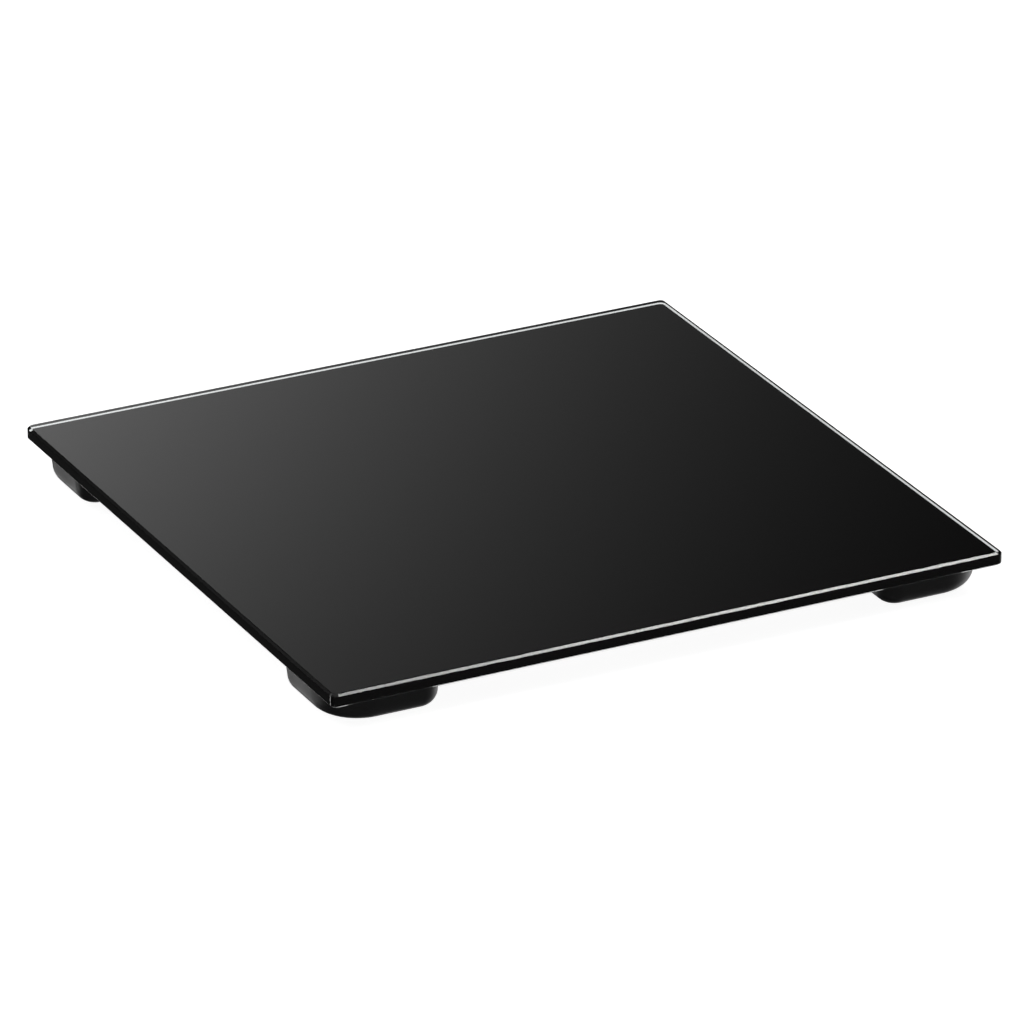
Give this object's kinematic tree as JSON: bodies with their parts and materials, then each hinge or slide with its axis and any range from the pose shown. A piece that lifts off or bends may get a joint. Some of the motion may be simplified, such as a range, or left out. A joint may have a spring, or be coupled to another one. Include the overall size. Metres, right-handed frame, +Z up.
{
  "type": "digital bathroom scale",
  "caption": "Slim square bathroom scale: black-backed clear glass platform on sprung load-cell corner feet, with a hidden display and a sliding battery door.",
  "frame": {"origin": "on the floor, under the middle of the square platform", "axes": "+Z up, out of the standing surface; +Y towards the far edge, where the display is; +X to the right of a person facing the display"},
  "size_m": [0.31, 0.31, 0.021],
  "materials": {
    "clear_glass": "polished, clear tempered",
    "black_print": "glossy black print and safety film",
    "black_abs": "satin moulded ABS",
    "black_rubber": "matt, moulded tread",
    "foam_tape": "closed-cell foam tape",
    "cell_steel": "nickel-plated, fine grain",
    "white_silicone": "cured silicone",
    "lead_jacket": "PVC ribbon, three colours",
    "board_green": "solder mask",
    "chip_epoxy": "moulded epoxy",
    "display_black": "satin",
    "diffuser_white": "milky film",
    "battery_wrap": "shrink sleeve over steel",
    "nickel": "nickel-plated spring steel",
    "screw_steel": "zinc-plated",
    "button_grey": "satin",
    "connector_white": "natural nylon",
    "wire_red": "PVC",
    "wire_black": "PVC"
  },
  "bodies": {
    "platform": {"glass_platform": "clear_glass", "back_film": "black_print", "front_left_bond_tape": "foam_tape", "front_left_foot_housing": "black_abs", "front_left_load_cell": "cell_steel", "front_left_gauge_potting": "white_silicone", "front_left_lead": "lead_jacket", "front_left_raceway": "black_abs", "front_right_bond_tape": "foam_tape", "front_right_foot_housing": "black_abs", "front_right_load_cell": "cell_steel", "front_right_gauge_potting": "white_silicone", "front_right_lead": "lead_jacket", "front_right_raceway": "black_abs", "back_left_bond_tape": "foam_tape", "back_left_foot_housing": "black_abs", "back_left_load_cell": "cell_steel", "back_left_gauge_potting": "white_silicone", "back_left_lead": "lead_jacket", "back_left_raceway": "black_abs", "back_right_bond_tape": "foam_tape", "back_right_foot_housing": "black_abs", "back_right_load_cell": "cell_steel", "back_right_gauge_potting": "white_silicone", "back_right_lead": "lead_jacket", "back_right_raceway": "black_abs", "electronics_tray": "black_abs", "tray_bond_tape": "foam_tape", "pcb": "board_green", "mcu_chip": "chip_epoxy", "display_module": "display_black", "display_diffuser": "diffuser_white", "tact_switch": "nickel", "contact_positive": "nickel", "contact_bridge_left": "nickel", "contact_bridge_right": "nickel", "contact_negative": "nickel", "battery_wire_red": "wire_red", "battery_wire_black": "wire_black", "aaa_battery_1": "battery_wrap", "aaa_battery_2": "battery_wrap", "aaa_battery_3": "battery_wrap", "pcb_screw_left": "screw_steel", "pcb_screw_right": "screw_steel", "left_lead_connector": "connector_white", "right_lead_connector": "connector_white"},
    "foot_front_left": {"front_left_foot_plate": "black_abs", "front_left_rubber_pad": "black_rubber"},
    "foot_front_right": {"front_right_foot_plate": "black_abs", "front_right_rubber_pad": "black_rubber"},
    "foot_back_left": {"back_left_foot_plate": "black_abs", "back_left_rubber_pad": "black_rubber"},
    "foot_back_right": {"back_right_foot_plate": "black_abs", "back_right_rubber_pad": "black_rubber"},
    "battery_door": {"battery_door": "black_abs"},
    "unit_button": {"unit_button": "button_grey"}
  },
  "joints": [
    {"name": "foot_front_left_press", "type": "slide", "parent": "platform", "child": "foot_front_left", "axis": [0, 0, 1], "range_m": [0, 0.0004], "stiffness_N_per_m": 1000, "springref_m": -0.01},
    {"name": "foot_front_right_press", "type": "slide", "parent": "platform", "child": "foot_front_right", "axis": [0, 0, 1], "range_m": [0, 0.0004], "stiffness_N_per_m": 1000, "springref_m": -0.01},
    {"name": "foot_back_left_press", "type": "slide", "parent": "platform", "child": "foot_back_left", "axis": [0, 0, 1], "range_m": [0, 0.0004], "stiffness_N_per_m": 1000, "springref_m": -0.01},
    {"name": "foot_back_right_press", "type": "slide", "parent": "platform", "child": "foot_back_right", "axis": [0, 0, 1], "range_m": [0, 0.0004], "stiffness_N_per_m": 1000, "springref_m": -0.01},
    {"name": "battery_door_slide", "type": "slide", "parent": "platform", "child": "battery_door", "axis": [0, -1, 0], "range_m": [0, 0.04]},
    {"name": "unit_button_press", "type": "slide", "parent": "platform", "child": "unit_button", "axis": [0, 0, 1], "range_m": [0, 0.0006], "stiffness_N_per_m": 400, "springref_m": -0.0005}
  ]
}
